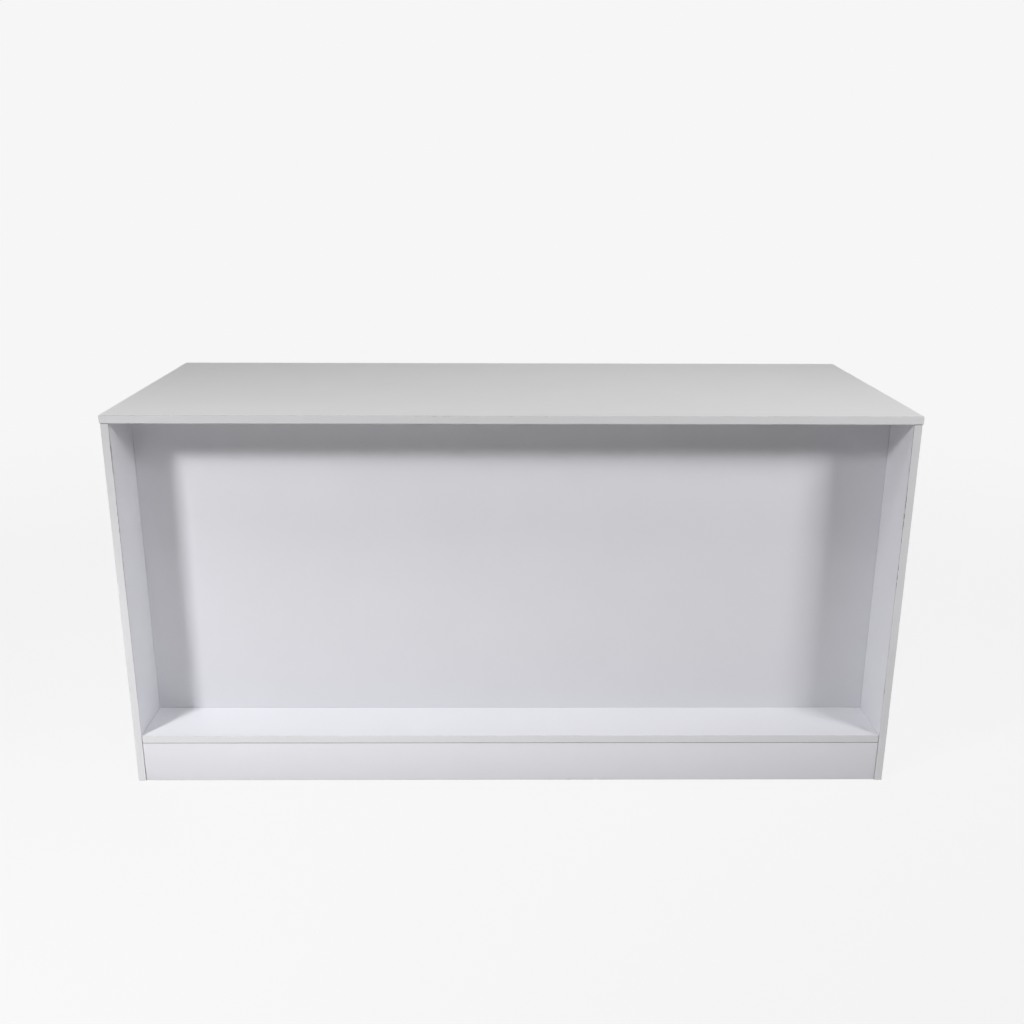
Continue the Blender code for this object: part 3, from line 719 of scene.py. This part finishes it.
def make_band(board, node, sizes):
    """Replace an edge band of the frame by a trimmed, worn one with its glue line."""
    low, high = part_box(node)
    core_low, core_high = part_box(board)
    size = high - low
    through, across, along = sorted(range(3), key=lambda axis: size[axis])
    outwards = 1 if (low + high)[through] > (core_low + core_high)[through] else -1
    back = low[through] if outwards > 0 else high[through]
    edge = core_high[through] if outwards > 0 else core_low[through]
    seed = sum(map(ord, node)) % 97
    near = Vector((low[along], low[across], 0.0))
    far = Vector((high[along], high[across], size[through]))
    start, end = END_TRIMS.get(node, (0.0, 0.0))
    near.x += start
    far.x -= end
    shape = band_shape(node, near, far, sizes, seed)
    add_glue_line(shape, near, far, abs(back - edge), sizes, seed)
    columns = (AXES[along], AXES[across], AXES[through] * outwards)
    placed = Matrix(columns).transposed().to_4x4()
    placed.translation = AXES[through] * back
    bmesh.ops.transform(shape, matrix=placed, verts=shape.verts)
    wiped = board in ("worktop", "base_deck")
    finishes = (white_edge_band(along, node == "worktop_front_band"), hot_melt_glue(wiped))
    add_piece(node + "_trimmed", shape, finishes, body_of(node), (node,))


def fit_plinth(shape, low, high, sizes):
    """Lengthen the front plinth into the gaps at its ends, and set its left end out of square."""
    for corner in shape.verts:
        if corner.co.x < low.x + 2 * sizes.station:
            drop = (high.z - corner.co.z) / (high.z - low.z)
            corner.co.x += sizes.plinth_skew * drop - sizes.plinth_fit
        if corner.co.x > high.x - 2 * sizes.station:
            corner.co.x += sizes.plinth_fit


def make_sawn_board(node, facing, sizes):
    """Replace a board with no bores by one whose sawn arrises are broken."""
    colours = bpy.context.scene.counter_finishes
    is_plinth = node == "front_plinth"
    low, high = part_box(node)
    if is_plinth:
        high.z -= sizes.plinth_drop
    shape = bmesh.new()
    along = max(range(3), key=lambda axis: (high - low)[axis])
    cuts = round((high - low)[along] / (4 * sizes.station))
    turn = [along] + [axis for axis in range(3) if axis != along]
    block(shape, [low[i] for i in turn], [high[i] for i in turn], cuts)
    placed = Matrix([AXES[i] for i in turn]).transposed().to_4x4()
    bmesh.ops.transform(shape, matrix=placed, verts=shape.verts)
    bmesh.ops.recalc_face_normals(shape, faces=shape.faces)
    arrises = [e for e in shape.edges if e.calc_face_angle(0.0) > SHARP_ANGLE]
    soften(shape, arrises, sizes.sawn_arris, 2)
    if is_plinth:
        fit_plinth(shape, low, high, sizes)
    # The front plinth's white is tuned to how it is lit: painted shade
    white = colours.plinth if is_plinth else colours.melamine
    # The front plinth gets painted shade at its foot, a contact shadow
    foot_shade = FOOT_SHADE if is_plinth else None
    finish = white_melamine(f"white_melamine_{node}", facing, white, foot_shade=foot_shade)
    add_piece(node + "_sawn", shape, (finish,), body_of(node), (node,))


def turned_shape(profile, axis, place):
    """Turn a profile of (radius, height) points round an axis through a place, with heights along it."""
    shape = bmesh.new()
    points = [shape.verts.new((radius, 0.0, height)) for radius, height in profile]
    edges = [shape.edges.new(pair) for pair in zip(points, points[1:])]
    bmesh.ops.spin(
        shape,
        geom=points + edges,
        axis=(0, 0, 1),
        cent=(0, 0, 0),
        angle=math.tau,
        steps=TURNED_SIDES,
        use_merge=True,
    )
    bmesh.ops.remove_doubles(shape, verts=shape.verts, dist=TOLERANCE)
    turn = AXES[Z].rotation_difference(Vector(axis)).to_matrix().to_4x4()
    turn.translation = place
    bmesh.ops.transform(shape, matrix=turn, verts=shape.verts)
    return shape


def cam_shape(radius, length, sizes):
    """A cam with its face at Z 0, looking along +Z, and the window in its wall towards +Y.

    The head is a disc with a raised rim and a sunk cross slot; the wall behind it is open for a fifth of its
    turn.
    """
    reach = radius - CAM_RIM
    half = sizes.cam_slot / 2
    profile = [
        (0.0, -CAM_STEP),
        (reach, -CAM_STEP),
        (reach + CAM_STEP, 0.0),
        (radius - CAM_STEP, 0.0),
        (radius, -CAM_STEP),
        (radius, -CAM_HEAD),
        (0.0, -CAM_HEAD),
    ]
    shape = turned_shape(profile, AXES[Z], (0, 0, 0))
    for axis in AXES[:2]:
        for side in (-half, half):
            flat = [f for f in shape.faces if is_cam_floor(f, reach)]
            parts = flat + [e for f in flat for e in f.edges] + [v for f in flat for v in f.verts]
            parts = list(dict.fromkeys(parts))
            bmesh.ops.bisect_plane(shape, geom=parts, plane_co=axis * side, plane_no=axis)
    slot = []
    for face in shape.faces:
        middle = face.calc_center_median()
        if is_cam_floor(face, reach) and min(abs(middle.x), abs(middle.y)) < half:
            slot.append(face)
    sunk = bmesh.ops.extrude_face_region(shape, geom=slot)["geom"]
    bmesh.ops.delete(shape, geom=slot, context="FACES")
    floor = [item for item in sunk if isinstance(item, bmesh.types.BMVert)]
    bmesh.ops.translate(shape, vec=(0, 0, -sizes.cam_slot_depth), verts=floor)
    add_cam_wall(shape, radius, length)
    return shape


def is_cam_floor(face, reach):
    """Whether a face of a cam is part of the flat floor inside its rim."""
    flat = all(abs(corner.co.z + CAM_STEP) < TOLERANCE for corner in face.verts)
    return flat and face.calc_center_median().xy.length < reach


def add_cam_wall(shape, radius, length):
    """Add a cam's open wall behind its head, with the window towards +Y."""
    outer = radius - CAM_WALL_INSET
    inner = outer - CAM_WALL
    top = CAM_WALL_LAP - CAM_HEAD
    start = Matrix.Rotation((math.pi + CAM_WINDOW) / 2, 3, "Z")
    section = ((inner, top), (outer, top), (outer, -length), (inner, -length))
    points = [shape.verts.new(start @ Vector((r, 0.0, z))) for r, z in section]
    bmesh.ops.spin(
        shape,
        geom=[shape.faces.new(points)],
        axis=(0, 0, 1),
        cent=(0, 0, 0),
        angle=math.tau - CAM_WINDOW,
        steps=TURNED_SIDES * 4 // 5,
    )


def rounded(radius, top, size, steps=4):
    """Profile points of a rounded end, from the axis out to the full radius."""
    centre = Vector((radius - size, top - size))
    angles = [math.pi / 2 * (1 - i / steps) for i in range(steps + 1)]
    return [(0.0, top)] + [(centre.x + size * math.cos(a), centre.y + size * math.sin(a)) for a in angles]


class COUNTER_OT_finish_boards(bpy.types.Operator):
    """Give the bored boards of the frame their melamine and raw chipboard"""

    bl_idname = "counter.finish_boards"
    bl_label = "Finish boards"

    def execute(self, context):
        colours = context.scene.counter_finishes
        # The worktop's white is painted warm light from above; the back panel's darker white is painted
        # shade of the recess
        whites = {"worktop": colours.worktop, "recess_back_panel": colours.panel}
        # The worktop's greyer underside is painted shade, which deepens the shadow under it
        darker_undersides = {"worktop": colours.darker_underside}
        for node, facing in FACED_BOARDS.items():
            chips = CHIPS.get(node)
            if chips:
                chips = {"edge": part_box(node)[0].y, **chips}
            white = whites.get(node, colours.melamine)
            darker_underside = darker_undersides.get(node)
            give(node, white_melamine(f"white_melamine_{node}", facing, white, chips, darker_underside=darker_underside))
        return {"FINISHED"}


class COUNTER_OT_sawn_boards(bpy.types.Operator):
    """Make the plinth boards, rails and shelves again with sawn arrises"""

    bl_idname = "counter.sawn_boards"
    bl_label = "Sawn boards"

    def execute(self, context):
        for node, facing in SAWN_BOARDS.items():
            make_sawn_board(node, facing, context.scene.counter_edges)
        return {"FINISHED"}


class COUNTER_OT_edge_bands(bpy.types.Operator):
    """Make the trimmed and worn edge bands with their glue lines"""

    bl_idname = "counter.edge_bands"
    bl_label = "Edge bands"

    def execute(self, context):
        for board, nodes in BANDS.items():
            for node in nodes:
                make_band(board, node, context.scene.counter_edges)
        return {"FINISHED"}


class COUNTER_OT_shelf_pins(bpy.types.Operator):
    """Make the shelf pins with rounded ends and a collar"""

    bl_idname = "counter.shelf_pins"
    bl_label = "Shelf pins"

    def execute(self, context):
        small = context.scene.counter_fittings.pin_round
        for node in PINS:
            low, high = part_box(node)
            side, _, _, end, _ = node.split("_")
            way = 1 if (side == "left") == (end == "outer") else -1
            half = (high.x - low.x) / 2
            collar = (high.z - low.z) / 2
            seat = half - PIN_REACH
            tip = rounded(PIN_RADIUS, half, small)
            profile = tip + [
                (PIN_RADIUS, seat + PIN_COLLAR),
                (collar - PIN_CHAMFER, seat + PIN_COLLAR),
                (collar, seat + PIN_COLLAR - PIN_CHAMFER),
                (collar, seat + PIN_CHAMFER),
                (collar - PIN_CHAMFER, seat),
                (PIN_RADIUS, seat),
            ]
            profile += [(r, -h) for r, h in reversed(tip)]
            shape = turned_shape(profile, (way, 0, 0), (low + high) / 2)
            add_piece(node + "_turned", shape, (nickel_plate(),), body_of(node), (node,))
        return {"FINISHED"}


class COUNTER_OT_cams(bpy.types.Operator):
    """Make the cast cams with a cross slot, and a window in their wall for the bolt's head"""

    bl_idname = "counter.cams"
    bl_label = "Cams"

    def execute(self, context):
        sizes = context.scene.counter_fittings
        zinc = die_cast_zinc()
        for place in CAMS:
            node = f"cam_housing_{place}"
            low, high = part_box(node)
            axis = AXES[Y]
            if not place.startswith("panel"):
                axis = AXES[X] * (1 if place.startswith("left") else -1)
            length = (high - low).dot(Vector(map(abs, axis)))
            shape = cam_shape((high.z - low.z) / 2, length, sizes)
            turn = Matrix((AXES[Z].cross(axis), AXES[Z], axis)).transposed().to_4x4()
            turn.translation = (low + high) / 2 + axis * length / 2
            bmesh.ops.transform(shape, matrix=turn, verts=shape.verts)
            add_piece(node + "_cast", shape, (zinc,), body_of(node), (node,))
        return {"FINISHED"}


class COUNTER_OT_fittings(bpy.types.Operator):
    """Finish the screws, bolts and dowels"""

    bl_idname = "counter.fittings"
    bl_label = "Fittings"

    def execute(self, context):
        for node in STEEL_NODES:
            give(node, nickel_plate())
        beech = bare_beech()
        for node in DOWELS:
            give(node, beech)
        return {"FINISHED"}


class COUNTER_OT_screw_caps(bpy.types.Operator):
    """Push a plastic cap on each screw head that shows on the side panels"""

    bl_idname = "counter.screw_caps"
    bl_label = "Screw caps"

    def execute(self, context):
        sizes = context.scene.counter_fittings
        plastic = moulded_cap()
        foot = sizes.cap_height * CAP_FOOT
        rise = sizes.cap_height - foot
        profile = [(sizes.cap_radius * ring, foot + rise * (1 - ring * ring)) for ring in CAP_RINGS]
        profile += [(sizes.cap_radius, sizes.cap_height * CAP_SHOULDER), (sizes.cap_radius, 0.0), (0.0, 0.0)]
        for node in CAPPED_SCREWS:
            low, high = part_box(node)
            side = -1 if node.startswith("left") else 1
            board_low, board_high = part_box(node.split("_")[0] + "_side_panel")
            face = board_low.x if side < 0 else board_high.x
            place = Vector((face, (low.y + high.y) / 2, (low.z + high.z) / 2))
            shape = turned_shape(profile, (side, 0, 0), place)
            name = node.replace("screw", "screw_cap")
            add_piece(name, shape, (plastic,), "carcass")
        return {"FINISHED"}


def softbox(name, power, place, aim, size, spread):
    """A softbox at a place, turned to a point; a grid may narrow its spread.

    It lights but isn't mirrored, because its reflection would burn out the worktop.
    """
    lamp = bpy.data.lights.new(name, "AREA")
    lamp.shape = "RECTANGLE"
    lamp.size = size[0]
    lamp.size_y = size[1]
    lamp.energy = power
    lamp.spread = math.radians(spread)
    stand = bpy.data.objects.new(name, lamp)
    stand.location = place
    stand.rotation_euler = (Vector(aim) - Vector(place)).to_track_quat("-Z", "Y").to_euler()
    stand.visible_camera = False
    stand.visible_glossy = False
    bpy.context.scene.collection.objects.link(stand)


def is_looked_at(tree):
    """1 where a surface is seen, mirrored or looked at through another, and 0 elsewhere."""
    path = put(tree, "LightPath")
    seen = path.outputs["Is Camera Ray"]
    for kind in ("Is Glossy Ray", "Is Transmission Ray"):
        seen = put(tree, "Math", {0: seen, 1: path.outputs[kind]}, operation="MAXIMUM").outputs[0]
    return seen


def pale_room(studio):
    """World: plain pale grey where it is seen or mirrored, and soft light elsewhere."""
    world = bpy.data.worlds.new("pale_room")
    world.use_nodes = True
    tree = world.node_tree
    tree.nodes.clear()
    soft = put(tree, "Background", {"Color": (1.0, 1.0, 1.0, 1.0), "Strength": studio.ambient})
    pale = put(tree, "Background", {"Color": (*studio.backdrop, 1.0), "Strength": 1.0})
    mix = put(tree, "MixShader", {0: is_looked_at(tree), 1: soft.outputs[0], 2: pale.outputs[0]})
    put(tree, "OutputWorld", {"Surface": mix.outputs[0]})
    # Lit by chance rays alone, so that a reflection gets the whole pale grey
    world.cycles.sampling_method = "NONE"
    return world


def studio_floor(studio):
    """Matt pale floor: it glows to the camera, so that it meets the backdrop, and keeps a soft shadow.

    Away from the counter it fades into the backdrop's own tone.
    """
    made, tree, shader = new_finish("studio_floor")
    place = put(tree, "TexCoord").outputs["Object"]
    reach = put(tree, "VectorMath", {0: place}, operation="LENGTH")
    ring = {"Value": reach.outputs["Value"], "From Min": FADE_START, "From Max": FADE_END}
    fade = put(tree, "MapRange", ring, interpolation_type="SMOOTHSTEP")
    matt = put(tree, "BsdfDiffuse", {"Color": (*[studio.floor_bounce] * 3, 1.0)})
    shadowed = put(tree, "BsdfDiffuse", {"Color": (*[FLOOR_TONE] * 3, 1.0)})
    glow = put(tree, "Emission", {"Color": (*studio.backdrop, 1.0), "Strength": FLOOR_GLOW})
    near = put(tree, "AddShader", {0: shadowed.outputs[0], 1: glow.outputs[0]})
    far = put(tree, "Emission", {"Color": (*studio.backdrop, 1.0)})
    pale = put(tree, "MixShader", {0: fade.outputs[0], 1: near.outputs[0], 2: far.outputs[0]})
    mix = put(tree, "MixShader", {0: is_looked_at(tree), 1: matt.outputs[0], 2: pale.outputs[0]})
    tree.nodes.remove(shader)
    tree.links.new(mix.outputs[0], tree.nodes["Material Output"].inputs["Surface"])
    # It isn't a lamp, so that a reflection gets its whole glow
    made.cycles.emission_sampling = "NONE"
    return made


def lay_floor(scene, studio):
    """Lay the studio floor under the counter."""
    shape = bmesh.new()
    bmesh.ops.create_grid(shape, x_segments=4, y_segments=4, size=FLOOR_HALF)
    mesh = bpy.data.meshes.new("studio_floor")
    shape.to_mesh(mesh)
    shape.free()
    mesh.materials.append(studio_floor(studio))
    floor = bpy.data.objects.new("studio_floor", mesh)
    scene.collection.objects.link(floor)


def set_camera(scene, studio):
    """Set the camera at its place, turned, tilted and leaning."""
    camera = bpy.data.cameras.new("camera")
    camera.sensor_width = 36.0
    camera.lens = studio.lens
    eye = bpy.data.objects.new("camera", camera)
    scene.collection.objects.link(eye)
    heading = Matrix.Rotation(-studio.turn, 4, "Z")
    nod = Matrix.Rotation(math.pi / 2 - studio.tilt, 4, "X")
    lean = Matrix.Rotation(studio.roll, 4, "Z")
    eye.matrix_world = Matrix.Translation(studio.eye) @ heading @ nod @ lean
    scene.camera = eye


class COUNTER_OT_stage(bpy.types.Operator):
    """Set the floor, the lamps, the room and the camera"""

    bl_idname = "counter.stage"
    bl_label = "Stage"

    def execute(self, context):
        scene = context.scene
        studio = scene.counter_studio
        scene.view_settings.view_transform = "Standard"
        lay_floor(scene, studio)
        scene.world = pale_room(studio)
        for name, (power, place, aim, size, spread) in SOFTBOXES.items():
            softbox(name, getattr(studio, power), place, aim, size, spread)
        set_camera(scene, studio)
        return {"FINISHED"}


class COUNTER_PT_looks(bpy.types.Panel):
    """Steps that dress the counter, and the values that they use"""

    bl_idname = "COUNTER_PT_looks"
    bl_label = "Retail counter"
    bl_space_type = "VIEW_3D"
    bl_region_type = "UI"
    bl_category = "Counter"

    def draw(self, context):
        for operator in OPERATORS:
            self.layout.operator(operator.bl_idname)
        for name, group in GROUPS.items():
            box = self.layout.box()
            box.label(text=group.__doc__)
            values = getattr(context.scene, name)
            for key in group.__annotations__:
                box.prop(values, key)


GROUPS = {
    "counter_finishes": CounterFinishes,
    "counter_edges": CounterEdges,
    "counter_fittings": CounterFittings,
    "counter_studio": CounterStudio,
}
OPERATORS = (
    COUNTER_OT_finish_boards,
    COUNTER_OT_sawn_boards,
    COUNTER_OT_edge_bands,
    COUNTER_OT_shelf_pins,
    COUNTER_OT_cams,
    COUNTER_OT_fittings,
    COUNTER_OT_screw_caps,
    COUNTER_OT_stage,
)


def register():
    """Register the values, the steps and the panel."""
    for name, group in GROUPS.items():
        bpy.utils.register_class(group)
        setattr(bpy.types.Scene, name, PointerProperty(type=group))
    for operator in OPERATORS:
        bpy.utils.register_class(operator)
    bpy.utils.register_class(COUNTER_PT_looks)


def unregister():
    """Take them out again, last first."""
    bpy.utils.unregister_class(COUNTER_PT_looks)
    for operator in reversed(OPERATORS):
        bpy.utils.unregister_class(operator)
    for name, group in reversed(GROUPS.items()):
        delattr(bpy.types.Scene, name)
        bpy.utils.unregister_class(group)


def main():
    """Dress the counter and set the stage."""
    register()
    bpy.ops.counter.finish_boards()
    bpy.ops.counter.sawn_boards()
    bpy.ops.counter.edge_bands()
    bpy.ops.counter.shelf_pins()
    bpy.ops.counter.cams()
    bpy.ops.counter.fittings()
    bpy.ops.counter.screw_caps()
    bpy.ops.counter.stage()


if __name__ == "__main__":
    main()
